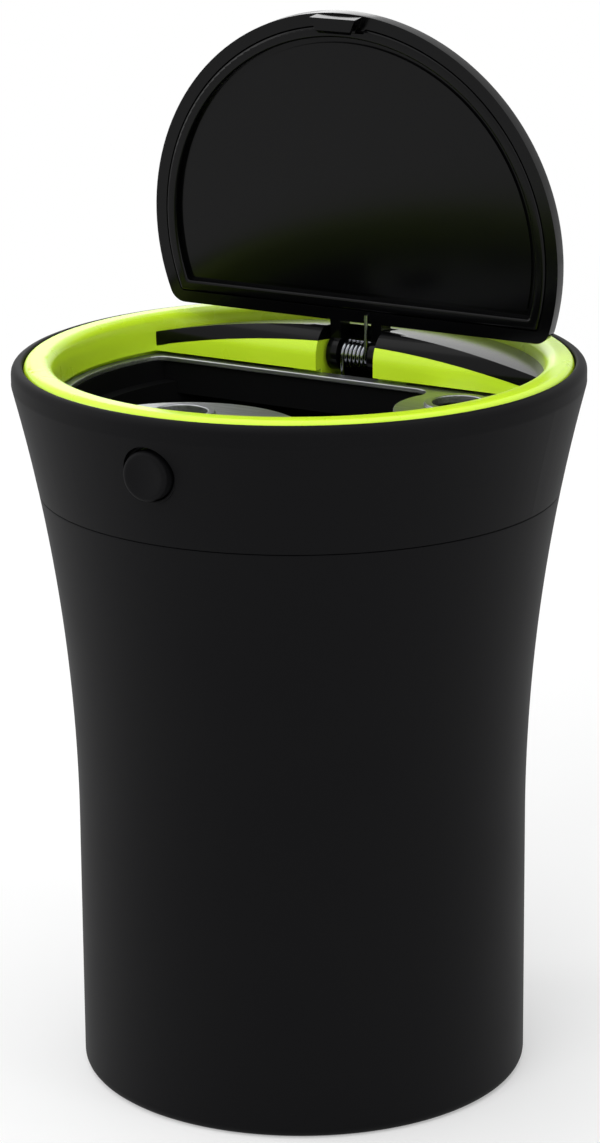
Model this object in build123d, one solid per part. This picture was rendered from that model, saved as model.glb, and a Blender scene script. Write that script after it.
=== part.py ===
"""Car ashtray: flared cup, screw-off head, lime funnel ring, steel ash plate and sprung lid.

Frame: origin at the centre of the base, +Z up, release button at -Y, lid hinge at +Y.
The lid is drawn closed and then turned about its hinge to the open position.
"""
import math
import os

from build123d import *

# Body, in millimetres and degrees
body_height = 105.0
rim_radius = 41.5
barrel_radius = 32.8
flare_start = 38.0
wall = 2.0
floor_thickness = 2.5
base_round = 1.5
floor_round = 3.0
foot_width = 3.5
foot_depth = 0.8
head_height = 17.3
seam_gap = 0.12
rim_round = 1.4

# Screw joint between cup and head
mouth_wall = 3.15
mouth_gap = 0.8
mouth_relief = 1.0
neck_wall = 2.0
neck_length = 9.0
seal_height = 1.0
rib_count = 12
rib_width = 1.2

# Shelf of the head, steel plate and lime ring
shelf_depth = 8.0
shelf_thickness = 1.8
plate_rise = 3.0
plate_thickness = 0.8
plate_tuck = 0.5
plate_edge = 1.0
upstand_wall = 1.5
crown_rise = 1.7
crown_width = 2.6
ring_lip_reach = 1.789
ring_lip_gap = 0.5
skirt_wall = 1.6
ring_outer_round = 1.2
ring_inner_round = 1.6

# Cigarette holes, and the plate's two lobes that carry them as shares of the opening's radius
hole_radius = 3.8
hole_rim_width = 1.1
hole_rim_height = 0.5
front_hole_share = (-0.265, -0.516)
front_lobe_share = (-0.103, -0.767)
front_lobe_size = 0.513
side_hole_share = (0.664, 0.186)
side_lobe_share = (0.723, 0.1475)
side_lobe_size = 0.307
lobe_blend_size = 0.074

# Lid, rear deck and their common dome
lid_open_angle = 85.0
lid_gap = 1.4
lid_corner = 2.5
least_corner = 0.5
lid_rise = 1.6
lid_edge_height = 2.14
lid_border = 1.8
lid_edge_round = 0.5
dome_rise = 3.96
dome_wall = 1.3
deck_thickness = 2.1
deck_side_gap = 0.25
nose_radius = 4.7
nose_gap = 0.5
panel_recess = 0.5
panel_thickness = 0.7
bead_width = 1.6
bead_proud = 0.25
bead_round = 0.4
groove_width = 0.9
groove_depth = 0.4

# Hinge
hinge_share = 0.5224
hinge_rise = 0.9
slot_half_width = 4.8
knuckle_radius = 2.6
prong_inner = 2.6
prong_thickness = 1.7
arm_above_pin = 1.9
pin_radius = 1.25
ear_width = 4.8
ear_depth = 6.7
chord_wall = 2.4
lid_spring_wire = 0.28
lid_spring_pitch = 0.8
lid_spring_turns = 5

# Push button and latch
button_rise = 1.2
button_radius = 3.5
button_gap = 0.6
button_proud = 1.3
button_round = 0.6
button_travel = 1.8
slider_half_width = 5.0
stem_half_width = 2.8
cam_bevel = 0.5
slider_thickness = 1.75
peg_radius = 0.7
peg_length = 1.5
lug_width = 1.3
lug_length = 2.0
hook_half_width = 3.4
hook_post = 1.6
hook_bite = 0.9
hook_lip = 0.7
catch_half_width = 3.7
catch_taper = 1.1
catch_depth = 2.6
catch_drop = 2.4
guide_wall = 2.0
guide_bar = 1.8
guide_lip = 1.4
guide_height = 2.5
spring_room = 5.1
return_spring_radius = 0.8
return_spring_wire = 0.16
return_spring_turns = 6

# Fasteners
screw_radius = 0.85
screw_head_radius = 1.7
screw_head_height = 1.2
screw_slot = 0.5
screw_bite = 4.0
boss_radius = 2.2
ring_screw_inset = 1.55
deck_screw_x = 17.0
deck_screw_inset = 3.0

# Clearances
fixed_gap = 0.15
moving_gap = 0.3
pin_gap = 0.06
press_gap = 0.03
seat_gap = 0.05
edge_match = 0.05

# Worked-out values
flare_rise = body_height - flare_start
flare_spread = rim_radius - barrel_radius
flare_radius = (flare_rise ** 2 + flare_spread ** 2) / (2 * flare_spread)
flare_centre = barrel_radius + flare_radius


def skin_radius(height, inset=0.0):
    """Radius of the body's skin at a height, or of a surface that lies inside it."""
    reach = max(height - flare_start, 0.0)
    return flare_centre - math.sqrt((flare_radius + inset) ** 2 - reach ** 2)


seam_height = body_height - head_height
mouth_radius = skin_radius(seam_height) - mouth_wall
neck_radius = mouth_radius - mouth_gap
neck_inner = neck_radius - neck_wall
neck_middle = neck_radius - neck_wall / 2
neck_bottom = seam_height - neck_length
seal_top = seam_height + seal_height
shelf_top = body_height - shelf_depth
shelf_underside = shelf_top - shelf_thickness
shelf_middle = shelf_top - shelf_thickness / 2
plate_underside = shelf_top + plate_rise
plate_top = plate_underside + plate_thickness
skirt_inset = wall + fixed_gap
ring_inner_inset = skirt_inset + skirt_wall
ring_lip_height = plate_top + ring_lip_gap
ring_lip_radius = skin_radius(ring_lip_height, ring_inner_inset) - ring_lip_reach
crown_height = body_height + crown_rise
ring_outer_radius = skin_radius(body_height, skirt_inset)
crown_inner_radius = ring_outer_radius - crown_width
plate_radius = ring_lip_radius + plate_tuck
opening_radius = ring_lip_radius - plate_edge
upstand_outer = plate_radius - fixed_gap
upstand_inner = upstand_outer - upstand_wall
lid_radius = ring_lip_radius - lid_gap
lid_rim_height = plate_top + lid_rise
dome_top = lid_rim_height + lid_edge_height + dome_rise
dome_radius = (lid_radius ** 2 + dome_rise ** 2) / (2 * dome_rise)
hinge_setback = hinge_share * lid_radius
hinge_height = lid_rim_height + hinge_rise
wall_face = hinge_setback - nose_radius
lid_chord = wall_face - nose_gap
opening_chord = lid_chord - fixed_gap
plate_chord = wall_face + upstand_wall
ear_front = plate_chord + fixed_gap
ear_middle = slot_half_width + ear_width / 2
ring_screw_setback = ear_front + ear_depth - ring_screw_inset
deck_screw_setback = math.sqrt((neck_inner - deck_screw_inset) ** 2 - deck_screw_x ** 2)
slot_back = hinge_setback + knuckle_radius + 2 * moving_gap
catch_front = -lid_radius + moving_gap
catch_back = catch_front + catch_depth - moving_gap
catch_tip = lid_rim_height - catch_drop
hook_front = catch_back + moving_gap
hook_tip = catch_back - hook_bite
hook_top = lid_rim_height - bead_proud - 2 * moving_gap
hook_underside = hook_top - hook_lip
button_height = shelf_top + button_rise
slider_bottom = shelf_top + fixed_gap
slider_top = slider_bottom + slider_thickness
slider_front = -skin_radius(button_height, wall) + moving_gap
slider_back = hook_front + hook_post + button_travel
relief_depth = slider_front + button_travel + moving_gap
lug_half_width = slider_half_width + lug_width
lug_front = -math.sqrt(upstand_inner ** 2 - lug_half_width ** 2) + fixed_gap
guide_front = lug_front + lug_length + button_travel + moving_gap
guide_inner = slider_half_width + moving_gap
guide_outer = guide_inner + guide_wall
guide_top = shelf_top + guide_height
bar_front = slider_back + spring_room
bar_back = bar_front + guide_bar
tongue_half_width = guide_outer + moving_gap
hinge_axis = Axis((0, hinge_setback, hinge_height), (1, 0, 0))


def flare_arc(bottom, top, inset=0.0):
    """Arc of the flare between two heights, as radius and height."""
    heights = (bottom, (bottom + top) / 2, top)
    return ThreePointArc(*[(skin_radius(z, inset), z) for z in heights])


def turned(*lines):
    """Solid of revolution about Z from a closed outline of radius and height."""
    outline = Curve() + list(lines)
    return revolve(Plane.XZ * make_face(outline), Axis.Z)


def slab(face, bottom, top):
    """Upright prism of a flat outline between two heights."""
    return Pos(0, 0, bottom) * extrude(face, top - bottom)


def block(x_limits, y_limits, z_limits):
    """Box between pairs of limits along X, Y and Z."""
    limits = (x_limits, y_limits, z_limits)
    centre = [(low + high) / 2 for low, high in limits]
    size = [high - low for low, high in limits]
    return Pos(*centre) * Box(*size)


def upright_rod(x, y, radius, bottom, top):
    return Pos(x, y, (bottom + top) / 2) * Cylinder(radius, top - bottom)


def front_rod(radius, front, back):
    """Round bar along Y on the button's axis."""
    return Pos(0, (front + back) / 2, button_height) * Rot(90, 0, 0) * Cylinder(radius, back - front)


def hinge_rod(radius, left, right):
    """Round bar along X on the lid's hinge axis."""
    middle = Pos((left + right) / 2, hinge_setback, hinge_height)
    return middle * Rot(0, 90, 0) * Cylinder(radius, right - left)


def below_dome(drop=0.0):
    """Everything under the dome that lid and deck share, or under its inner surface."""
    return Pos(0, 0, dome_top - drop - dome_radius) * Sphere(dome_radius)


def both_sides(solid):
    return solid + mirror(solid, about=Plane.YZ)


def round_edges(solid, radius, height):
    """Circular edges of a turned solid at one radius and height."""
    circles = solid.edges().filter_by(GeomType.CIRCLE)
    level = [e for e in circles if abs(e.arc_center.Z - height) < edge_match]
    return [e for e in level if abs(e.radius - radius) < edge_match]


def d_outline(radius, chord, corner=0.0):
    """Circle cut straight at a chord towards the hinge, with rounded corners."""
    half = math.sqrt(radius ** 2 - chord ** 2)
    arc = ThreePointArc((half, chord), (0, -radius), (-half, chord))
    face = make_face(Curve() + [arc, Line((-half, chord), (half, chord))])
    return fillet(face.vertices(), corner) if corner else face


def rear_segment(radius, chord):
    """The rest of the circle, behind the chord."""
    half = math.sqrt(radius ** 2 - chord ** 2)
    arc = ThreePointArc((half, chord), (0, radius), (-half, chord))
    return make_face(Curve() + [arc, Line((-half, chord), (half, chord))])


def lid_outline(inset):
    return d_outline(lid_radius - inset, lid_chord - inset, max(lid_corner - inset, least_corner))


def make_cup():
    """Ash cup: foot ring, straight barrel, flare and the bore that takes the head's neck."""
    inner = barrel_radius - wall
    floor_top = foot_depth + floor_thickness
    foot_inner = barrel_radius - base_round - foot_width
    mouth_floor = neck_bottom - mouth_relief
    cup = turned(
        Polyline((0, floor_top), (0, foot_depth), (foot_inner, foot_depth), (foot_inner, 0),
                 (barrel_radius, 0), (barrel_radius, flare_start)),
        flare_arc(flare_start, seam_height),
        Polyline((skin_radius(seam_height), seam_height), (mouth_radius, seam_height),
                 (mouth_radius, mouth_floor), (skin_radius(mouth_floor, wall), mouth_floor)),
        flare_arc(flare_start, mouth_floor, wall),
        Polyline((inner, flare_start), (inner, floor_top), (0, floor_top)),
    )
    cup = fillet(round_edges(cup, barrel_radius, 0), base_round)
    return fillet(round_edges(cup, inner, floor_top), floor_round)


def make_neck_seal():
    """Flat ring between the cup's mouth and the ribs of the head."""
    inner = neck_radius + moving_gap
    outer = skin_radius(seam_height, wall) - moving_gap
    return slab(Circle(outer) - Circle(inner), seam_height, seal_top)


def head_ribs():
    """Radial ribs in the channel between neck and skin: the seat of the seal."""
    channel = turned(
        Line((neck_middle, seal_top), (skin_radius(seal_top, wall / 2), seal_top)),
        flare_arc(seal_top, shelf_middle, wall / 2),
        Polyline((skin_radius(shelf_middle, wall / 2), shelf_middle), (neck_middle, shelf_middle),
                 (neck_middle, seal_top)),
    )
    spoke = block((0, rim_radius), (-rib_width / 2, rib_width / 2), (seal_top, shelf_middle))
    rib = channel & spoke
    return [turn * rib for turn in PolarLocations(0, rib_count)]


def shelf_screw_places():
    """Plan positions of the screws that come up through the shelf."""
    places = []
    for side in (-1, 1):
        places.append((side * ear_middle, ring_screw_setback))
        places.append((side * deck_screw_x, deck_screw_setback))
        places.append((side * (guide_inner + guide_wall / 2), (bar_front + bar_back) / 2))
    return places


def make_head_shell():
    """Black head: skin, shelf, upstand for the plate, threaded neck and latch bed."""
    skin_bottom = seam_height + seam_gap
    shell = turned(
        flare_arc(skin_bottom, body_height),
        Line((rim_radius, body_height), (skin_radius(body_height, wall), body_height)),
        flare_arc(shelf_top, body_height, wall),
        Polyline((skin_radius(shelf_top, wall), shelf_top), (upstand_outer, shelf_top),
                 (upstand_outer, plate_underside), (upstand_inner, plate_underside),
                 (upstand_inner, shelf_top), (neck_inner, shelf_top), (neck_inner, neck_bottom),
                 (neck_radius, neck_bottom), (neck_radius, shelf_underside),
                 (skin_radius(shelf_underside, wall), shelf_underside)),
        flare_arc(skin_bottom, shelf_underside, wall),
        Line((skin_radius(skin_bottom, wall), skin_bottom), (skin_radius(skin_bottom), skin_bottom)),
    )
    shell = fillet(round_edges(shell, rim_radius, body_height), rim_round)
    for rib in head_ribs():
        shell += rib
    # Rear shelf under the hinge, and the wall that carries the plate's straight edge
    shell += slab(rear_segment(neck_middle, wall_face), shelf_underside, shelf_top)
    upstand_middle = (upstand_inner + upstand_outer) / 2
    half = math.sqrt(upstand_middle ** 2 - plate_chord ** 2)
    shell += block((-half, half), (wall_face, plate_chord), (shelf_middle, plate_underside))
    # Tongue that the latch slides on, and its way out through the upstand
    tongue = (-tongue_half_width, tongue_half_width)
    shell += block(tongue, (-neck_middle, bar_back + moving_gap), (shelf_underside, shelf_top))
    way = (-guide_inner, guide_inner)
    shell -= block(way, (-plate_radius, -upstand_inner + upstand_wall), (shelf_top, plate_underside))
    # Round hole for the button, cut back as far as the button travels
    shell -= front_rod(button_radius + button_gap, -rim_radius, relief_depth)
    for x, y in shelf_screw_places():
        shell -= upright_rod(x, y, screw_radius + fixed_gap, shelf_underside, shelf_top)
    return shell


def nose_corner():
    """What is cut away above and in front of the rounded nose, so that the lid can swing."""
    corner = block((-rim_radius, rim_radius), (0, hinge_setback), (hinge_height, dome_top))
    return corner - hinge_rod(nose_radius, -rim_radius, rim_radius)


def hinge_slot(back):
    slot = (-slot_half_width, slot_half_width)
    return block(slot, (0, back), (shelf_top, dome_top))


def make_funnel_ring():
    """Lime ring: skirt, rounded crown, sloped inner wall and the wall along the lid's chord."""
    lip_outer = skin_radius(ring_lip_height, ring_inner_inset)
    insets = (ring_inner_inset, skirt_inset)
    skirt_bottom = [(skin_radius(shelf_top, inset), shelf_top) for inset in insets]
    ring = turned(
        flare_arc(shelf_top, body_height, skirt_inset),
        Polyline((ring_outer_radius, body_height), (ring_outer_radius, crown_height),
                 (crown_inner_radius, crown_height), (ring_lip_radius, ring_lip_height),
                 (lip_outer, ring_lip_height)),
        flare_arc(shelf_top, ring_lip_height, ring_inner_inset),
        Line(*skirt_bottom),
    )
    ring = fillet(round_edges(ring, ring_outer_radius, crown_height), ring_outer_round)
    ring = fillet(round_edges(ring, crown_inner_radius, crown_height), ring_inner_round)
    # Straight wall behind the opening, with an arched top under the deck
    chord = slab(rear_segment(lip_outer, wall_face), ring_lip_height, dome_top)
    chord &= block((-lip_outer, lip_outer), (wall_face, wall_face + chord_wall), (ring_lip_height, dome_top))
    # Ears that carry the hinge pin and stand on the shelf
    ear = block((slot_half_width, slot_half_width + ear_width), (ear_front, ear_front + ear_depth),
                (shelf_top, dome_top))
    rear = chord + both_sides(ear)
    rear = (rear & below_dome(deck_thickness + seat_gap)) - nose_corner()
    ring += rear - hinge_slot(ear_front + ear_depth)
    pin_reach = slot_half_width + ear_width
    ring -= hinge_rod(pin_radius + press_gap, -pin_reach, pin_reach)
    for side in (-1, 1):
        ring -= upright_rod(side * ear_middle, ring_screw_setback, screw_radius + press_gap,
                            shelf_top, shelf_top + screw_bite)
    # Room for the button and the slider at the front
    ring -= front_rod(button_radius + moving_gap, -rim_radius, relief_depth)
    way = (-guide_inner, guide_inner)
    return ring - block(way, (-rim_radius, -upstand_outer), (shelf_top, slider_top + moving_gap))


def make_rear_deck():
    """Black domed cover behind the lid, with a rounded nose and the hinge slot."""
    slope = (crown_inner_radius - ring_lip_radius) / (crown_height - ring_lip_height)
    bottom = ring_lip_radius - deck_side_gap
    rise = dome_top - ring_lip_height
    funnel = Pos(0, 0, ring_lip_height + rise / 2) * Cone(bottom, bottom + slope * rise, rise)
    deck = funnel & block((-rim_radius, rim_radius), (wall_face, rim_radius), (ring_lip_height, dome_top))
    deck = (deck & below_dome()) - below_dome(deck_thickness) - nose_corner() - hinge_slot(slot_back)
    boss = upright_rod(deck_screw_x, deck_screw_setback, boss_radius, shelf_top, dome_top)
    boss &= below_dome(deck_thickness / 2)
    deck += both_sides(boss)
    for side in (-1, 1):
        deck -= upright_rod(side * deck_screw_x, deck_screw_setback, screw_radius + press_gap,
                            shelf_top, shelf_top + screw_bite)
    return deck


def on_plate(share):
    """Plan position on the plate from shares of the opening's radius."""
    x_share, y_share = share
    return x_share * opening_radius, y_share * opening_radius


def plate_opening():
    """Ash opening: a D with two lobes left standing for the cigarette holes."""
    opening = d_outline(opening_radius, opening_chord)
    opening -= Pos(*on_plate(front_lobe_share)) * Circle(front_lobe_size * opening_radius)
    opening -= Pos(*on_plate(side_lobe_share)) * Circle(side_lobe_size * opening_radius)
    return fillet(opening.vertices(), lobe_blend_size * opening_radius)


def make_ash_plate():
    """Pressed steel plate with the ash opening, two rimmed holes and the latch slot."""
    plate = slab(d_outline(plate_radius, plate_chord) - plate_opening(), plate_underside, plate_top)
    rim_top = plate_top + hole_rim_height
    places = [on_plate(front_hole_share), on_plate(side_hole_share)]
    for place in places:
        plate += upright_rod(*place, hole_radius + hole_rim_width, plate_underside, rim_top)
        plate -= upright_rod(*place, hole_radius, plate_underside, rim_top)
    slot_half = catch_half_width + 2 * moving_gap
    slot_limits = (-lid_radius - moving_gap, slider_back + moving_gap)
    return plate - block((-slot_half, slot_half), slot_limits, (plate_underside, plate_top))


def opened(solid):
    """Turn a closed lid piece up to the open position."""
    return solid.rotate(hinge_axis, -lid_open_angle)


def lid_prong():
    """Hinge arm from the lid's straight edge to its knuckle on the pin."""
    arm_front = lid_chord - lid_border / 2
    limits = (prong_inner, prong_inner + prong_thickness)
    arm = block(limits, (arm_front, hinge_setback), (lid_rim_height, hinge_height + arm_above_pin))
    prong = arm + hinge_rod(knuckle_radius, *limits)
    return prong - hinge_rod(pin_radius + pin_gap, *limits)


def lid_catch():
    """Catch under the lid's tip, grooved on its inner side for the hook."""
    narrow = catch_half_width - catch_taper
    plan = make_face(Polyline((-catch_half_width, catch_front), (catch_half_width, catch_front),
                              (narrow, catch_back), (-narrow, catch_back), close=True))
    catch = slab(plan, catch_tip, lid_rim_height + panel_recess)
    lead_edge = catch.edges().filter_by(Axis.X).group_by(Axis.Z)[0].sort_by(Axis.Y)[-1]
    catch = chamfer(lead_edge, cam_bevel)
    return catch - block((-catch_half_width, catch_half_width), (hook_tip - moving_gap, catch_back),
                         (hook_underside - fixed_gap, hook_top + fixed_gap))


def make_lid_shell():
    """Domed D-shaped lid, hollow underneath, with hinge prongs and catch."""
    shell = slab(lid_outline(0), lid_rim_height, dome_top) & below_dome()
    top_edges = shell.faces().sort_by(Axis.Z)[-1].edges()
    shell = fillet(top_edges, lid_edge_round)
    hollow = slab(lid_outline(lid_border), lid_rim_height, dome_top) & below_dome(dome_wall)
    shell -= hollow
    shell += both_sides(lid_prong())
    shell += lid_catch()
    return opened(shell)


def make_lid_liner():
    """Flat inner panel of the lid, with a groove and a raised bead round its edge."""
    face_height = lid_rim_height + panel_recess
    top = face_height + panel_thickness
    edge = lid_border + fixed_gap
    bead = lid_outline(edge) - lid_outline(edge + bead_width)
    bead = slab(bead, lid_rim_height - bead_proud, top)
    bead = fillet(bead.faces().sort_by(Axis.Z)[0].edges(), bead_round)
    liner = bead + slab(lid_outline(edge), face_height, top)
    groove = lid_outline(edge + bead_width) - lid_outline(edge + bead_width + groove_width)
    liner -= slab(groove, face_height, face_height + groove_depth)
    room = catch_half_width + fixed_gap
    liner -= block((-room, room), (-lid_radius, catch_back + fixed_gap),
                   (lid_rim_height - bead_proud, face_height + fixed_gap))
    return opened(liner)


def make_hinge_pin():
    reach = slot_half_width + ear_width
    return hinge_rod(pin_radius, -reach, reach)


def coil(path, wire_radius):
    """Round wire wound along a path."""
    section = Plane(origin=path @ 0, z_dir=path % 0) * Circle(wire_radius)
    return sweep(section, path=path, is_frenet=True)


def make_lid_spring():
    """Torsion spring on the pin, between the prongs."""
    length = lid_spring_pitch * lid_spring_turns
    radius = pin_radius + moving_gap + lid_spring_wire
    start = (-length / 2, hinge_setback, hinge_height)
    return coil(Helix(lid_spring_pitch, length, radius, center=start, direction=(1, 0, 0)), lid_spring_wire)


def make_button_spring():
    """Return spring between the slider and the guide's bar."""
    length = spring_room - 2 * return_spring_wire
    start = (0, slider_back + return_spring_wire, slider_bottom + slider_thickness / 2)
    pitch = length / return_spring_turns
    path = Helix(pitch, length, return_spring_radius, center=start, direction=(0, 1, 0))
    return coil(path, return_spring_wire)


def make_button_cap():
    """Round push button, standing proud of the skin."""
    front = -skin_radius(button_height) - button_proud
    cap = front_rod(button_radius, front, slider_front)
    cap = fillet(cap.edges().group_by(Axis.Y)[0], button_round)
    return cap - peg(press_gap)


def peg(gap=0.0):
    """Peg of the slider in the back of the button."""
    middle = slider_bottom + slider_thickness / 2
    rod = Rot(90, 0, 0) * Cylinder(peg_radius + gap, peg_length + gap)
    return Pos(0, slider_front - (peg_length + gap) / 2, middle) * rod


def make_latch_slider():
    """Slider behind the button: stop lugs, post and the hook that holds the lid's catch."""
    height = (slider_bottom, slider_top)
    slider = block((-stem_half_width, stem_half_width), (slider_front, slider_back), height)
    slider += block((-slider_half_width, slider_half_width), (-plate_radius, slider_back), height)
    slider += block((-lug_half_width, lug_half_width), (lug_front, lug_front + lug_length), height)
    half = (-hook_half_width, hook_half_width)
    slider += block(half, (hook_front, hook_front + hook_post), (slider_bottom, hook_top))
    lip = block(half, (hook_tip, hook_front), (hook_underside, hook_top))
    lead_edge = lip.edges().filter_by(Axis.X).group_by(Axis.Z)[-1].sort_by(Axis.Y)[0]
    slider += chamfer(lead_edge, cam_bevel)
    return slider + peg()


def make_latch_guide():
    """Frame on the tongue: two lipped rails for the slider and a bar for its spring."""
    outside = block((-guide_outer, guide_outer), (guide_front, bar_back), (shelf_top, guide_top))
    channel = block((-guide_inner, guide_inner), (guide_front, bar_front),
                    (shelf_top, slider_top + fixed_gap))
    gate = guide_inner - guide_lip
    gap = block((-gate, gate), (guide_front, bar_front), (shelf_top, guide_top))
    guide = outside - channel - gap
    for side in (-1, 1):
        guide -= upright_rod(side * (guide_inner + guide_wall / 2), (bar_front + bar_back) / 2,
                             screw_radius + press_gap, shelf_top, guide_top)
    return guide


def screw(x, y, length):
    """Slotted pan-head screw that comes up through the shelf."""
    head_bottom = shelf_underside - screw_head_height
    body = upright_rod(x, y, screw_head_radius, head_bottom, shelf_underside)
    body += upright_rod(x, y, screw_radius, head_bottom, shelf_top + length)
    slot = (head_bottom, head_bottom + screw_slot)
    return body - block((x - screw_head_radius, x + screw_head_radius),
                        (y - screw_slot / 2, y + screw_slot / 2), slot)


def screw_pair(x, y, length):
    return Compound(children=[screw(-x, y, length), screw(x, y, length)])


parts = {
    "cup": make_cup(),
    "neck_seal": make_neck_seal(),
    "head_shell": make_head_shell(),
    "funnel_ring": make_funnel_ring(),
    "rear_deck": make_rear_deck(),
    "ash_plate": make_ash_plate(),
    "lid_shell": make_lid_shell(),
    "lid_liner": make_lid_liner(),
    "hinge_pin": make_hinge_pin(),
    "lid_spring": make_lid_spring(),
    "button_cap": make_button_cap(),
    "latch_slider": make_latch_slider(),
    "latch_guide": make_latch_guide(),
    "button_spring": make_button_spring(),
    "ring_screws": screw_pair(ear_middle, ring_screw_setback, screw_bite),
    "deck_screws": screw_pair(deck_screw_x, deck_screw_setback, screw_bite),
    "guide_screws": screw_pair(guide_inner + guide_wall / 2, (bar_front + bar_back) / 2,
                               guide_height - fixed_gap),
}

os.makedirs("parts", exist_ok=True)
for name, solid in parts.items():
    export_step(solid, f"parts/{name}.step")
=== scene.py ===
import math

import bmesh
import bpy
from mathutils import Matrix, Vector


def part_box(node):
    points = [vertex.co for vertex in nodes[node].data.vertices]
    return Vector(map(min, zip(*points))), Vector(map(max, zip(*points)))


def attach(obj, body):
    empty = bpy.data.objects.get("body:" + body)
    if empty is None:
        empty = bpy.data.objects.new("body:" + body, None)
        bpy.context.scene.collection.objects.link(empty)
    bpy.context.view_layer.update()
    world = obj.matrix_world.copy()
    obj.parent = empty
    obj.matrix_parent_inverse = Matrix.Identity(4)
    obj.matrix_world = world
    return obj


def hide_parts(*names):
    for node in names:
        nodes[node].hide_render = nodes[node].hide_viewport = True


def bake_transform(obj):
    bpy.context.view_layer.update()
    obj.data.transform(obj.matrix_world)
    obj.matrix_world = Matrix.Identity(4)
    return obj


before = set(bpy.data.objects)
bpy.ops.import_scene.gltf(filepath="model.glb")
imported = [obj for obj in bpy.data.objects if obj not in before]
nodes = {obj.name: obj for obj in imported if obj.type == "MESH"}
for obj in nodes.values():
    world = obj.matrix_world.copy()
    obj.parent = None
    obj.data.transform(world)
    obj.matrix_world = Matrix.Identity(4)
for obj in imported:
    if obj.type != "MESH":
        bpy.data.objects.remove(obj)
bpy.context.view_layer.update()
mm = 0.001
meshing = {"weld": 0.002, "sharpAngle": 35, "flatAngle": 0.4, "bevelSegments": 2}
print("frame loaded:", len(nodes), "nodes")


# small tools

def hexColor(code):
    # sRGB hex to the linear colour that shaders take
    levels = [int(code[i:i + 2], 16) / 255 for i in (1, 3, 5)]
    return (*[v / 12.92 if v <= 0.04045 else ((v + 0.055) / 1.055) ** 2.4 for v in levels], 1.0)


def perSize(millimetres):
    # texture scale that gives features of this size on Object coordinates
    return 1 / (millimetres * mm)


def boxOf(nodeName):
    # lowest and highest corner of a solid, in millimetres
    return [[v / mm for v in corner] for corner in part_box(nodeName)]


def addNode(tree, kind, inputs=None, **settings):
    node = tree.nodes.new(kind)
    for key, value in settings.items():
        setattr(node, key, value)
    for socket, value in (inputs or {}).items():
        if isinstance(value, bpy.types.NodeSocket):
            tree.links.new(value, node.inputs[socket])
        else:
            node.inputs[socket].default_value = value
    return node


def newMaterial(name):
    material = bpy.data.materials.new(name)
    material.use_nodes = True
    material.node_tree.nodes.clear()
    tree = material.node_tree
    place = addNode(tree, "ShaderNodeTexCoord").outputs["Object"]
    return material, tree, place


def newTree(name, sockets):
    # empty Geometry Nodes tree with its named inputs and one geometry output
    tree = bpy.data.node_groups.new(name, "GeometryNodeTree")
    for label, kind in sockets:
        tree.interface.new_socket(label, in_out="INPUT", socket_type=kind)
    tree.interface.new_socket("Geometry", in_out="OUTPUT", socket_type="NodeSocketGeometry")
    return tree, addNode(tree, "NodeGroupInput").outputs


def closeTree(tree, geometry, material):
    # every tree ends in real geometry with its material on it
    real = addNode(tree, "GeometryNodeRealizeInstances", {"Geometry": geometry})
    dressed = addNode(tree, "GeometryNodeSetMaterial", {"Geometry": real.outputs[0], "Material": material})
    addNode(tree, "NodeGroupOutput", {"Geometry": dressed.outputs[0]})


def bake(name, tree, values, material, place=Matrix()):
    # runs a tree on an empty carrier and keeps the result as a plain mesh
    carrier = bpy.data.objects.new(name + "Carrier", bpy.data.meshes.new(name + "Carrier"))
    bpy.context.scene.collection.objects.link(carrier)
    modifier = carrier.modifiers.new("shape", "NODES")
    modifier.node_group = tree
    for item in tree.interface.items_tree:
        if item.in_out == "INPUT":
            modifier[item.identifier] = material if item.name == "Material" else values[item.name]
    ready = carrier.evaluated_get(bpy.context.evaluated_depsgraph_get())
    mesh = bpy.data.meshes.new_from_object(ready)
    carrier.modifiers.remove(modifier)
    bpy.data.objects.remove(carrier)
    for value in values.values():
        if isinstance(value, bpy.types.Object):
            bpy.data.objects.remove(value)  # the path or the single ridge has done its work
    mesh.transform(place)
    return finishMesh(name, mesh, material)


def finishMesh(name, mesh, material):
    # welds, points the faces outwards, smooths all but the sharp edges
    shape = bmesh.new()
    shape.from_mesh(mesh)
    bmesh.ops.remove_doubles(shape, verts=shape.verts, dist=meshing["weld"] * mm)
    bmesh.ops.recalc_face_normals(shape, faces=shape.faces)
    for face in shape.faces:
        face.smooth = True
    for edge in shape.edges:
        edge.smooth = edge.calc_face_angle(0) < math.radians(meshing["sharpAngle"])
    shape.to_mesh(mesh)
    shape.free()
    mesh.name = name
    mesh.materials.clear()
    mesh.materials.append(material)
    piece = bpy.data.objects.new(name, mesh)
    bpy.context.scene.collection.objects.link(piece)
    return piece


def pathObject(name, points, closed=False):
    # poly curve that a tree sweeps along or turns round the axis
    curve = bpy.data.curves.new(name, "CURVE")
    curve.dimensions = "3D"
    spline = curve.splines.new("POLY")
    spline.points.add(len(points) - 1)
    for spot, point in zip(spline.points, points):
        spot.co = (*point, 1)
    spline.use_cyclic_u = closed
    item = bpy.data.objects.new(name, curve)
    bpy.context.scene.collection.objects.link(item)
    return item


def roundedOutline(corners, steps=6):
    # radius, height and rounding of each corner; ends stay as they are
    outline = []
    for i, (x, y, *extra) in enumerate(corners):
        spot = Vector((x, y))
        if not extra:
            outline.append(spot)
            continue
        before = (Vector(corners[i - 1][:2]) - spot).normalized()
        after = (Vector(corners[(i + 1) % len(corners)][:2]) - spot).normalized()
        half = before.angle(after) / 2
        centre = spot + (before + after).normalized() * (extra[0] / math.sin(half))
        start = spot + before * (extra[0] / math.tan(half)) - centre
        finish = spot + after * (extra[0] / math.tan(half)) - centre
        for step in range(steps + 1):
            outline.append(centre + start.slerp(finish, step / steps).normalized() * extra[0])
    return outline


# materials: each black, lime or metal starts from the real stock and its making

# ABS from a spark-eroded mould: deep black, a soft broad sheen, grain only just felt
satinAbs, tree, place = newMaterial("satinMouldedAbs")
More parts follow.
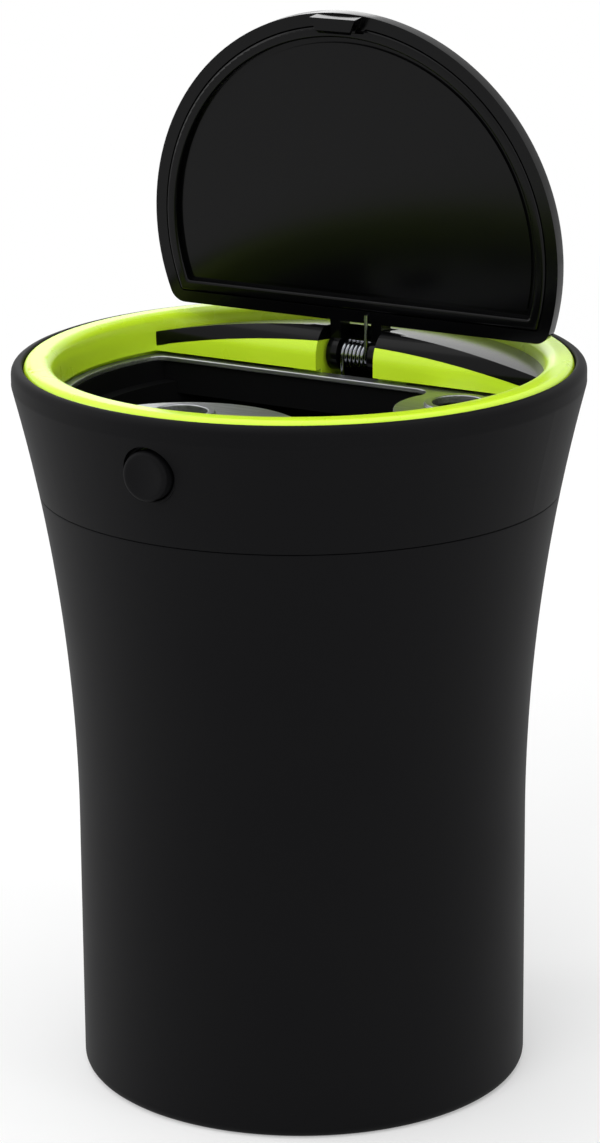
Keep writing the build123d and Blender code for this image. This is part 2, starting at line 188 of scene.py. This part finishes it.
# the real grain, 0.05 mm, is too fine to show, so it is drawn at 0.4 mm
grain = addNode(tree, "ShaderNodeTexNoise", {"Vector": place, "Scale": perSize(0.4), "Detail": 2.0})
cloud = addNode(tree, "ShaderNodeTexNoise", {"Vector": place, "Scale": perSize(14), "Detail": 3.0})
tint = addNode(tree, "ShaderNodeValToRGB", {"Fac": cloud.outputs["Fac"]})
tint.color_ramp.elements[0].color = hexColor("#08080a")
tint.color_ramp.elements[1].color = hexColor("#0c0c0d")
rough = addNode(tree, "ShaderNodeMapRange", {"Value": cloud.outputs["Fac"], "To Min": 0.54, "To Max": 0.60})
bump = addNode(tree, "ShaderNodeBump", {
    "Height": grain.outputs["Fac"], "Strength": 0.10, "Distance": 0.02 * mm})
skin = addNode(tree, "ShaderNodeBsdfPrincipled", {
    "Base Color": tint.outputs["Color"], "Roughness": rough.outputs["Result"],
    "Normal": bump.outputs["Normal"], "IOR": 1.53, "Specular IOR Level": 0.07})
addNode(tree, "ShaderNodeOutputMaterial", {"Surface": skin.outputs[0]})

# ABS from a polished mould: mirror-like black with a trace of orange peel
glossAbs, tree, place = newMaterial("polishedMouldedAbs")
peel = addNode(tree, "ShaderNodeTexNoise", {"Vector": place, "Scale": perSize(7), "Detail": 1.0})
haze = addNode(tree, "ShaderNodeTexNoise", {"Vector": place, "Scale": perSize(18), "Detail": 4.0})
rough = addNode(tree, "ShaderNodeMapRange", {"Value": haze.outputs["Fac"], "To Min": 0.13, "To Max": 0.20})
bump = addNode(tree, "ShaderNodeBump", {
    "Height": peel.outputs["Fac"], "Strength": 0.05, "Distance": 0.05 * mm})
skin = addNode(tree, "ShaderNodeBsdfPrincipled", {
    "Base Color": hexColor("#050506"), "Roughness": rough.outputs["Result"],
    "Normal": bump.outputs["Normal"], "IOR": 1.53, "Specular IOR Level": 0.13})
addNode(tree, "ShaderNodeOutputMaterial", {"Surface": skin.outputs[0]})

# Pigmented lime ABS, half-gloss: strong colour, light passing a little into the edges
limeAbs, tree, place = newMaterial("limeMouldedAbs")
cloud = addNode(tree, "ShaderNodeTexNoise", {"Vector": place, "Scale": perSize(10), "Detail": 3.0})
tint = addNode(tree, "ShaderNodeValToRGB", {"Fac": cloud.outputs["Fac"]})
tint.color_ramp.elements[0].color = hexColor("#c8ee26")
tint.color_ramp.elements[1].color = hexColor("#d4f832")
rough = addNode(tree, "ShaderNodeMapRange", {"Value": cloud.outputs["Fac"], "To Min": 0.24, "To Max": 0.32})
skin = addNode(tree, "ShaderNodeBsdfPrincipled", {
    "Base Color": tint.outputs["Color"], "Roughness": rough.outputs["Result"], "IOR": 1.53,
    "Subsurface Weight": 0.08, "Subsurface Radius": (0.6, 0.8, 0.1), "Subsurface Scale": 1 * mm})
addNode(tree, "ShaderNodeOutputMaterial", {"Surface": skin.outputs[0]})

# Cold-rolled stainless sheet, pressed: grey mirror broken up by fine rolling lines along X
pressedSteel, tree, place = newMaterial("pressedStainlessSteel")
stretch = addNode(tree, "ShaderNodeMapping", {"Vector": place, "Scale": (0.04, 1, 1)})
lines = addNode(tree, "ShaderNodeTexNoise", {
    "Vector": stretch.outputs[0], "Scale": perSize(0.35), "Detail": 3.0})
rough = addNode(tree, "ShaderNodeMapRange", {"Value": lines.outputs["Fac"], "To Min": 0.34, "To Max": 0.46})
bump = addNode(tree, "ShaderNodeBump", {
    "Height": lines.outputs["Fac"], "Strength": 0.08, "Distance": 0.02 * mm})
tint = addNode(tree, "ShaderNodeValToRGB", {"Fac": lines.outputs["Fac"]})
tint.color_ramp.elements[0].position, tint.color_ramp.elements[1].position = 0.3, 0.7
tint.color_ramp.elements[0].color = hexColor("#97989d")
tint.color_ramp.elements[1].color = hexColor("#b9babf")
skin = addNode(tree, "ShaderNodeBsdfPrincipled", {
    "Base Color": tint.outputs["Color"], "Metallic": 1.0, "Roughness": rough.outputs["Result"],
    "Normal": bump.outputs["Normal"]})
addNode(tree, "ShaderNodeOutputMaterial", {"Surface": skin.outputs[0]})

# Oil-tempered spring wire and pin: dark grey, drawn smooth, with small sharp glints
drawnWire, tree, place = newMaterial("drawnSpringWire")
marks = addNode(tree, "ShaderNodeTexNoise", {"Vector": place, "Scale": perSize(0.6), "Detail": 2.0})
rough = addNode(tree, "ShaderNodeMapRange", {"Value": marks.outputs["Fac"], "To Min": 0.12, "To Max": 0.24})
skin = addNode(tree, "ShaderNodeBsdfPrincipled", {
    "Base Color": hexColor("#8d8f94"), "Metallic": 1.0, "Roughness": rough.outputs["Result"]})
addNode(tree, "ShaderNodeOutputMaterial", {"Surface": skin.outputs[0]})

# Zinc-plated screws: bluish grey, slightly mottled by the bath
zincPlate, tree, place = newMaterial("zincPlatedSteel")
mottle = addNode(tree, "ShaderNodeTexNoise", {"Vector": place, "Scale": perSize(0.8), "Detail": 4.0})
tint = addNode(tree, "ShaderNodeValToRGB", {"Fac": mottle.outputs["Fac"]})
tint.color_ramp.elements[0].color = hexColor("#a7adb6")
tint.color_ramp.elements[1].color = hexColor("#c3c8cf")
skin = addNode(tree, "ShaderNodeBsdfPrincipled", {
    "Base Color": tint.outputs["Color"], "Metallic": 1.0, "Roughness": 0.34})
addNode(tree, "ShaderNodeOutputMaterial", {"Surface": skin.outputs[0]})

# Acetal latch: dark, waxy, self-lubricating
waxyAcetal, tree, place = newMaterial("mouldedAcetal")
cloud = addNode(tree, "ShaderNodeTexNoise", {"Vector": place, "Scale": perSize(3), "Detail": 2.0})
rough = addNode(tree, "ShaderNodeMapRange", {"Value": cloud.outputs["Fac"], "To Min": 0.30, "To Max": 0.42})
skin = addNode(tree, "ShaderNodeBsdfPrincipled", {
    "Base Color": hexColor("#232325"), "Roughness": rough.outputs["Result"], "IOR": 1.48})
addNode(tree, "ShaderNodeOutputMaterial", {"Surface": skin.outputs[0]})

# Nitrile seal: dull, slightly dusty rubber
dullRubber, tree, place = newMaterial("mouldedNitrile")
dust = addNode(tree, "ShaderNodeTexNoise", {"Vector": place, "Scale": perSize(2), "Detail": 4.0})
tint = addNode(tree, "ShaderNodeValToRGB", {"Fac": dust.outputs["Fac"]})
tint.color_ramp.elements[0].color = hexColor("#151515")
tint.color_ramp.elements[1].color = hexColor("#202020")
skin = addNode(tree, "ShaderNodeBsdfPrincipled", {
    "Base Color": tint.outputs["Color"], "Roughness": 0.75, "IOR": 1.52, "Specular IOR Level": 0.3})
addNode(tree, "ShaderNodeOutputMaterial", {"Surface": skin.outputs[0]})

finishes = {
    "satin_black": satinAbs, "gloss_black": glossAbs, "lime": limeAbs,
    "steel_plate": pressedSteel, "steel_wire": drawnWire, "screw_steel": zincPlate,
    "latch_plastic": waxyAcetal, "seal_rubber": dullRubber,
}
slotNames = {}
for node in nodes.values():
    for holder in node.material_slots:
        slotNames[node.name] = holder.material.name.split(".")[0]
        holder.material = finishes[slotNames[node.name]]
print("materials:", len(finishes))


# trees

# turns a closed outline round the Z axis
turnedTree, given = newTree("turnedOutline", (
    ("Outline", "NodeSocketObject"), ("Segments", "NodeSocketInt"), ("Sweep Radius", "NodeSocketFloat"),
    ("Material", "NodeSocketMaterial")))
outline = addNode(turnedTree, "GeometryNodeObjectInfo", {"Object": given["Outline"]})
hoop = addNode(turnedTree, "GeometryNodeCurvePrimitiveCircle", {
    "Resolution": given["Segments"], "Radius": given["Sweep Radius"]})
level = addNode(turnedTree, "GeometryNodeSetCurveNormal", {"Curve": hoop.outputs[0]})
level.mode = "Z_UP"
turned = addNode(turnedTree, "GeometryNodeCurveToMesh", {
    "Curve": level.outputs[0], "Profile Curve": outline.outputs["Geometry"]})
closeTree(turnedTree, turned.outputs[0], given["Material"])

# round wire along a path
wireTree, given = newTree("wireAlongPath", (
    ("Path", "NodeSocketObject"), ("Wire Radius", "NodeSocketFloat"), ("Sides", "NodeSocketInt"),
    ("Material", "NodeSocketMaterial")))
route = addNode(wireTree, "GeometryNodeObjectInfo", {"Object": given["Path"]})
section = addNode(wireTree, "GeometryNodeCurvePrimitiveCircle", {
    "Resolution": given["Sides"], "Radius": given["Wire Radius"]})
wire = addNode(wireTree, "GeometryNodeCurveToMesh", {
    "Curve": route.outputs["Geometry"], "Profile Curve": section.outputs[0], "Fill Caps": True})
closeTree(wireTree, wire.outputs[0], given["Material"])

# repeats one shape at equal angles round the Z axis
ringTree, given = newTree("repeatedRound", (
    ("Shape", "NodeSocketObject"), ("Count", "NodeSocketInt"), ("Material", "NodeSocketMaterial")))
shape = addNode(ringTree, "GeometryNodeObjectInfo", {"Object": given["Shape"]})
spots = addNode(ringTree, "GeometryNodeMeshLine", {"Count": given["Count"], "Offset": (0, 0, 0)})
number = addNode(ringTree, "GeometryNodeInputIndex")
share = addNode(ringTree, "ShaderNodeMath", {0: math.tau, 1: given["Count"]}, operation="DIVIDE")
angle = addNode(ringTree, "ShaderNodeMath", {0: number.outputs[0], 1: share.outputs[0]}, operation="MULTIPLY")
spin = addNode(ringTree, "ShaderNodeCombineXYZ", {"Z": angle.outputs[0]})
copies = addNode(ringTree, "GeometryNodeInstanceOnPoints", {
    "Points": spots.outputs[0], "Instance": shape.outputs["Geometry"], "Rotation": spin.outputs[0]})
closeTree(ringTree, copies.outputs[0], given["Material"])


def turnedPiece(name, corners, material, segments=192, place=Matrix()):
    # corners in millimetres: radius, height and, where it is rounded, the rounding
    sweep = 20 * mm  # the circle that carries the outline; its radius is taken off again
    spots = [(x * mm - sweep, -y * mm, 0) for x, y in roundedOutline(corners)]
    outline = pathObject(name + "Outline", spots, closed=corners[0][0] > 0)
    values = {"Outline": outline, "Segments": segments, "Sweep Radius": sweep}
    return bake(name, turnedTree, values, material, place)


# body: straight barrel, then a circular flare up to the rim

body = {"barrelRadius": 32.8, "rimRadius": 41.5, "flareStart": 38.0, "rimHeight": 105.0, "wall": 2.0,
        "seam": 87.7, "mouthRadius": 34.4, "mouthFloor": 77.7, "footInner": 27.8, "footDepth": 0.8,
        "floorTop": 3.3, "baseRound": 1.5, "floorRound": 3.0, "footRound": 0.5, "footEdge": 0.6,
        "seamEdge": 0.15, "mouthEdge": 0.4, "mouthRound": 0.2, "belowSeam": 0.5}
flareRise = body["rimHeight"] - body["flareStart"]
flareSpread = body["rimRadius"] - body["barrelRadius"]
flareRadius = (flareRise ** 2 + flareSpread ** 2) / (2 * flareSpread)


def skinRadius(height, inset=0.0):
    reach = max(height - body["flareStart"], 0)
    return body["barrelRadius"] + flareRadius - math.sqrt((flareRadius + inset) ** 2 - reach ** 2)


def flareSpots(low, high, inset, count=28):
    heights = [low + (high - low) * i / count for i in range(count + 1)]
    return [(skinRadius(z, inset), z) for z in heights]


cupCorners = [(0, body["footDepth"]), (body["footInner"], body["footDepth"], body["footRound"]),
              (body["footInner"], 0, body["footEdge"]), (body["barrelRadius"], 0, body["baseRound"])]
cupCorners += flareSpots(body["flareStart"], body["seam"] - body["belowSeam"], 0)
cupCorners += [(skinRadius(body["seam"]), body["seam"], body["seamEdge"]),
               (body["mouthRadius"], body["seam"], body["mouthEdge"]),
               (body["mouthRadius"], body["mouthFloor"], body["mouthRound"])]
cupCorners += reversed(flareSpots(body["flareStart"], body["mouthFloor"], body["wall"]))
cupCorners += [(body["barrelRadius"] - body["wall"], body["floorTop"], body["floorRound"]),
               (0, body["floorTop"])]
cupBody = turnedPiece("cupBody", cupCorners, satinAbs)
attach(cupBody, "cup")
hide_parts("cup")

# upper edge of the head's rim, up to just below the lime crown, on top of the head's own rounding
rim = {"inner": 39.43, "outer": 41.08, "top": 106.3, "innerFoot": 104.45, "outerFoot": 103.6,
       "tuck": 0.2, "tuckDrop": 0.15, "innerRound": 0.35, "outerRound": 1.25}
rimEdge = turnedPiece("rimEdge", [
    (rim["inner"], rim["innerFoot"]), (rim["inner"], rim["top"], rim["innerRound"]),
    (rim["outer"], rim["top"], rim["outerRound"]), (rim["outer"], rim["outerFoot"]),
    (rim["outer"] - rim["tuck"], rim["outerFoot"] - rim["tuckDrop"])], satinAbs)
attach(rimEdge, "head")

# four-start thread: the head's ridges run between the cup's, with the lead of the head's screw motion
thread = {"starts": 4, "lead": 12.0, "turns": 0.5, "base": 1.3, "tip": 0.6, "tall": 0.5, "root": 0.1,
          "fadeShare": 0.1, "steps": 72, "neckRadius": 33.6, "neckHeight": 79.9, "cupHeight": 81.4}


def threadRidge(name, radius, height, side):
    # one start of a trapezoid thread that fades out at both ends; side is 1 outwards, -1 inwards
    shape = bmesh.new()
    rows = []
    for step in range(thread["steps"] + 1):
        share = step / thread["steps"]
        fade = min(1, share / thread["fadeShare"], (1 - share) / thread["fadeShare"])
        angle = share * thread["turns"] * math.tau
        level = height + share * thread["turns"] * thread["lead"]
        root, crest = -side * thread["root"], side * thread["tall"] * fade
        section = ((root, -thread["base"] / 2), (crest, -thread["tip"] / 2),
                   (crest, thread["tip"] / 2), (root, thread["base"] / 2))
        row = []
        for out, up in section:
            reach = (radius + out) * mm
            spot = (reach * math.cos(angle), reach * math.sin(angle), (level + up) * mm)
            row.append(shape.verts.new(spot))
        rows.append(row)
    for first, second in zip(rows, rows[1:]):
        for i in range(len(first)):
            shape.faces.new((first[i], first[i - 1], second[i - 1], second[i]))
    shape.faces.new(rows[0])
    shape.faces.new(reversed(rows[-1]))
    mesh = bpy.data.meshes.new(name)
    shape.to_mesh(mesh)
    shape.free()
    piece = bpy.data.objects.new(name, mesh)
    bpy.context.scene.collection.objects.link(piece)
    return piece


for name, carrier, radius, height, side in (
        ("neckThread", "head", thread["neckRadius"], thread["neckHeight"], 1),
        ("cupThread", "cup", body["mouthRadius"], thread["cupHeight"], -1)):
    ridge = threadRidge(name + "Ridge", radius, height, side)
    ridges = bake(name, ringTree, {"Shape": ridge, "Count": thread["starts"]}, satinAbs)
    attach(ridges, carrier)
print("body and thread made")


ringCrown = {"gain": 1.2, "foot": 101.3, "full": 105.6, "beyond": 33.77, "within": 37.95}


def broadenCrown(shape):
    # the lime crown's inner rounding stands further in, and the sloped wall below it is steeper
    for vert in shape.verts:
        across = Vector((vert.co.x, vert.co.y))
        rise = (vert.co.z / mm - ringCrown["foot"]) / (ringCrown["full"] - ringCrown["foot"])
        if rise > 0 and ringCrown["beyond"] < across.length / mm < ringCrown["within"]:
            across *= 1 - ringCrown["gain"] * mm * min(rise, 1) / across.length
            vert.co.x, vert.co.y = across


def softenedCopy(name, nodeName, width):
    # the solid's own shape, with a fine radius on each hard edge to catch the light
    source = nodes[nodeName].data
    mesh = source.copy()
    mesh.attributes.remove(mesh.attributes["custom_normal"])
    shape = bmesh.new()
    shape.from_mesh(mesh)
    bmesh.ops.remove_doubles(shape, verts=shape.verts, dist=meshing["weld"] * mm)
    if nodeName == "funnel_ring":
        broadenCrown(shape)
    bmesh.ops.dissolve_limit(shape, angle_limit=math.radians(meshing["flatAngle"]),
                             verts=shape.verts, edges=shape.edges)
    shape.to_mesh(mesh)
    shape.free()
    piece = finishMesh(name, mesh, source.materials[0])
    edge = piece.modifiers.new("fineEdge", "BEVEL")
    edge.width = width * mm
    edge.segments = meshing["bevelSegments"]
    edge.limit_method = "ANGLE"
    edge.angle_limit = math.radians(meshing["sharpAngle"])
    edge.harden_normals = True
    return piece


softened = {  # node: piece, body that carries it, width of the softened edge in millimetres
    "ash_plate": ("ashPlate", "head", 0.22), "rear_deck": ("rearDeck", "head", 0.2),
    "funnel_ring": ("funnelRing", "head", 0.15), "lid_shell": ("lidShell", "lid", 0.2),
    "lid_liner": ("lidLiner", "lid", 0.12)}
for nodeName, (name, carrier, width) in softened.items():
    piece = softenedCopy(name, nodeName, width)
    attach(piece, carrier)
    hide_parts(nodeName)
print("edges softened:", len(softened))

# seal ring with softened corners, where its solid is
low, high = boxOf("neck_seal")
seal = {"inner": 33.9, "outer": high[0], "bottom": low[2], "top": high[2], "round": 0.3}
sealRing = turnedPiece("sealRing", [
    (seal["inner"], seal["bottom"], seal["round"]), (seal["outer"], seal["bottom"], seal["round"]),
    (seal["outer"], seal["top"], seal["round"]), (seal["inner"], seal["top"], seal["round"])], dullRubber)
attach(sealRing, "seal")
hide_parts("neck_seal")

# push button: rounded edge, shallow finger dish, bore for the latch's peg
low, high = boxOf("button_cap")
button = {"radius": high[0], "length": high[1] - low[1], "back": high[1], "height": (low[2] + high[2]) / 2,
          "edge": 0.6, "backEdge": 0.2, "bore": 0.95, "boreDepth": 1.6, "segments": 96, "dish": 0.22,
          "dishRows": ((0, 1), (1.3, 0.85), (2.2, 0.35), (2.75, 0))}  # radius, share of the dish's depth


def facingFront(back, height):
    # lays a turned piece's axis along the button's, from its back forwards
    return Matrix.Translation((0, back * mm, height * mm)) @ Matrix.Rotation(math.pi / 2, 4, "X")


buttonCorners = [(radius, button["length"] - share * button["dish"]) for radius, share in button["dishRows"]]
buttonCorners += [(button["radius"], button["length"], button["edge"]),
                  (button["radius"], 0, button["backEdge"]),
                  (button["bore"], 0), (button["bore"], button["boreDepth"]), (0, button["boreDepth"])]
buttonCap = turnedPiece("buttonCap", buttonCorners, satinAbs, button["segments"],
                        facingFront(button["back"], button["height"]))
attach(buttonCap, "button")
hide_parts("button_cap")

# sleeve that lines the button's hole, set back from the skin
sleeve = {"inner": 3.72, "outer": 4.09, "length": 1.7, "back": -37.6, "backRound": 0.05, "frontRound": 0.1}
buttonSleeve = turnedPiece("buttonSleeve", [
    (sleeve["inner"], 0, sleeve["backRound"]), (sleeve["outer"], 0, sleeve["backRound"]),
    (sleeve["outer"], sleeve["length"], sleeve["frontRound"]),
    (sleeve["inner"], sleeve["length"], sleeve["frontRound"])], satinAbs, button["segments"],
    facingFront(sleeve["back"], button["height"]))
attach(buttonSleeve, "head")

# lid spring: one leg stands on the head's shelf, the other pushes the lid's rim; the coil twists between
low, high = boxOf("lid_spring")
spring = {"wire": 0.28, "sides": 14, "turns": 5.0, "shelf": 97.3, "reach": 6.4, "shutTurn": 276.0,
          "lidTurn": 85.0, "legSteps": 8, "coilSteps": 260}
spring["radius"] = (high[2] - low[2]) / 2 - spring["wire"]
spring["halfLength"] = high[0] - spring["wire"]
centreY, centreZ = (low[1] + high[1]) / 2, (low[2] + high[2]) / 2
# wound from the front over the top: whole turns, then on to where the lid's leg points
sweepAngle = math.tau * spring["turns"] + math.radians(spring["shutTurn"] + spring["lidTurn"])
springSpots = []
for step in range(spring["legSteps"]):
    share = step / spring["legSteps"]
    springSpots.append((-spring["halfLength"], centreY - spring["radius"],
                        spring["shelf"] + (centreZ - spring["shelf"]) * share))
for step in range(spring["coilSteps"] + 1):
    share = step / spring["coilSteps"]
    around = math.pi - sweepAngle * share
    springSpots.append(((2 * share - 1) * spring["halfLength"],
                        centreY + spring["radius"] * math.cos(around),
                        centreZ + spring["radius"] * math.sin(around)))
last = Vector(springSpots[-1])
heading = Vector((0, math.sin(around), -math.cos(around)))
for step in range(1, spring["legSteps"] + 1):
    springSpots.append(tuple(last + heading * spring["reach"] * step / spring["legSteps"]))
springPath = pathObject("lidSpringPath", [tuple(v * mm for v in spot) for spot in springSpots])
lidSpring = bake("lidSpring", wireTree, {
    "Path": springPath, "Wire Radius": spring["wire"] * mm, "Sides": spring["sides"]}, drawnWire)
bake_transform(lidSpring)
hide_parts("lid_spring")

# return spring behind the button, coiled between the latch and the head
low, high = boxOf("button_spring")
returnCoil = {"wire": 0.16, "sides": 10, "turns": 6.5, "steps": 200, "height": (low[2] + high[2]) / 2}
returnCoil["radius"] = (high[2] - low[2]) / 2 - returnCoil["wire"]
returnCoil["front"] = low[1] + returnCoil["wire"]
returnCoil["length"] = high[1] - low[1] - 2 * returnCoil["wire"]
coilSpots = []
for step in range(returnCoil["steps"] + 1):
    share = step / returnCoil["steps"]
    around = math.tau * returnCoil["turns"] * share
    coilSpots.append((returnCoil["radius"] * math.cos(around) * mm,
                      (returnCoil["front"] + returnCoil["length"] * share) * mm,
                      (returnCoil["height"] + returnCoil["radius"] * math.sin(around)) * mm))
coilPath = pathObject("buttonSpringPath", coilSpots)
buttonSpring = bake("buttonSpring", wireTree, {
    "Path": coilPath, "Wire Radius": returnCoil["wire"] * mm, "Sides": returnCoil["sides"]}, drawnWire)
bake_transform(buttonSpring)
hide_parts("button_spring")
print("seal, button and springs made")


# the floor, light and camera, in metres

studio = {"floorReach": 1.6, "floorSegments": 96, "floorColor": "#d0d0d0", "floorGlow": 0.32,
          "fadeFrom": 0.16, "fadeTo": 0.6, "worldLevel": 0.65, "aim": (0, 0, 0.08)}


def seenRays(tree):
    # 1 for what is seen, straight or in a reflection; 0 for the light that falls on the object
    rays = addNode(tree, "ShaderNodeLightPath").outputs
    seen = rays["Is Camera Ray"]
    for kind in ("Is Glossy Ray", "Is Transmission Ray"):
        seen = addNode(tree, "ShaderNodeMath", {0: seen, 1: rays[kind]}, operation="MAXIMUM").outputs[0]
    return seen


floorMesh = bpy.data.meshes.new("studioFloor")
disc = bmesh.new()
bmesh.ops.create_circle(disc, cap_ends=True, segments=studio["floorSegments"], radius=studio["floorReach"])
disc.to_mesh(floorMesh)
disc.free()
studioFloor = bpy.data.objects.new("studioFloor", floorMesh)
bpy.context.scene.collection.objects.link(studioFloor)
paper, tree, place = newMaterial("seamlessPaper")
matt = addNode(tree, "ShaderNodeBsdfDiffuse", {"Color": hexColor(studio["floorColor"])})
glow = addNode(tree, "ShaderNodeEmission", {"Color": (1, 1, 1, 1), "Strength": studio["floorGlow"]})
dark = addNode(tree, "ShaderNodeEmission", {"Color": (0, 0, 0, 1), "Strength": 0.0})
seen = seenRays(tree)
lift = addNode(tree, "ShaderNodeMixShader", {0: seen, 1: dark.outputs[0], 2: glow.outputs[0]})
near = addNode(tree, "ShaderNodeAddShader", {0: matt.outputs[0], 1: lift.outputs[0]})
reach = addNode(tree, "ShaderNodeVectorMath", {0: place}, operation="LENGTH")
fade = addNode(tree, "ShaderNodeMapRange", {
    "Value": reach.outputs["Value"], "From Min": studio["fadeFrom"], "From Max": studio["fadeTo"]},
    interpolation_type="SMOOTHSTEP")
far = addNode(tree, "ShaderNodeMath", {0: fade.outputs["Result"], 1: seen}, operation="MULTIPLY")
white = addNode(tree, "ShaderNodeEmission", {"Color": (1, 1, 1, 1), "Strength": 1.0})
whole = addNode(tree, "ShaderNodeMixShader", {0: far.outputs[0], 1: near.outputs[0], 2: white.outputs[0]})
addNode(tree, "ShaderNodeOutputMaterial", {"Surface": whole.outputs[0]})
floorMesh.materials.append(paper)

world = bpy.data.worlds.new("softRoom")
world.use_nodes = True
world.node_tree.nodes.clear()
tree = world.node_tree
seen = seenRays(tree)
level = addNode(tree, "ShaderNodeMapRange", {"Value": seen, "To Min": studio["worldLevel"], "To Max": 1.0})
room = addNode(tree, "ShaderNodeBackground", {"Color": (1, 1, 1, 1), "Strength": level.outputs["Result"]})
addNode(tree, "ShaderNodeOutputWorld", {"Surface": room.outputs[0]})
bpy.context.scene.world = world

lamps = (  # name, place, size, watts, shows in gloss
    ("topBox", (-0.15, -0.10, 1.10), (1.3, 1.3), 4.8, True),
    ("frontBox", (0.10, -0.95, 0.85), (0.7, 0.5), 4.2, False),
    ("leftBox", (-0.92, -0.40, 0.40), (0.35, 0.9), 2.2, True),
    ("rightBox", (0.95, -0.12, 0.40), (0.35, 0.9), 1.3, True),
    ("backBox", (-0.72, 0.86, 0.42), (0.55, 0.35), 0.9, True),
)
for name, spot, size, watts, inGloss in lamps:
    lamp = bpy.data.lights.new(name, "AREA")
    lamp.shape = "RECTANGLE"
    lamp.size, lamp.size_y = size
    lamp.energy = watts
    holder = bpy.data.objects.new(name, lamp)
    holder.location = spot
    holder.visible_glossy = inGloss
    holder.rotation_euler = (Vector(studio["aim"]) - Vector(spot)).to_track_quat("-Z", "Y").to_euler()
    bpy.context.scene.collection.objects.link(holder)

view = {"place": (0.27899, -0.46670, 0.23214), "heading": 30.88, "tilt": 16.157, "roll": -0.458,
        "lens": 122.97, "sensor": 36}  # angles in degrees, lens and sensor in millimetres
cameraData = bpy.data.cameras.new("photoCamera")
cameraData.lens = view["lens"]
cameraData.sensor_width = view["sensor"]
camera = bpy.data.objects.new("photoCamera", cameraData)
turn = Matrix.Rotation(math.radians(view["heading"]), 4, "Z")
turn = turn @ Matrix.Rotation(math.radians(90 - view["tilt"]), 4, "X")
turn = turn @ Matrix.Rotation(math.radians(view["roll"]), 4, "Z")
camera.matrix_world = Matrix.Translation(view["place"]) @ turn
bpy.context.scene.collection.objects.link(camera)
bpy.context.scene.camera = camera
bpy.context.scene.view_settings.view_transform = "Standard"
print("studio set")
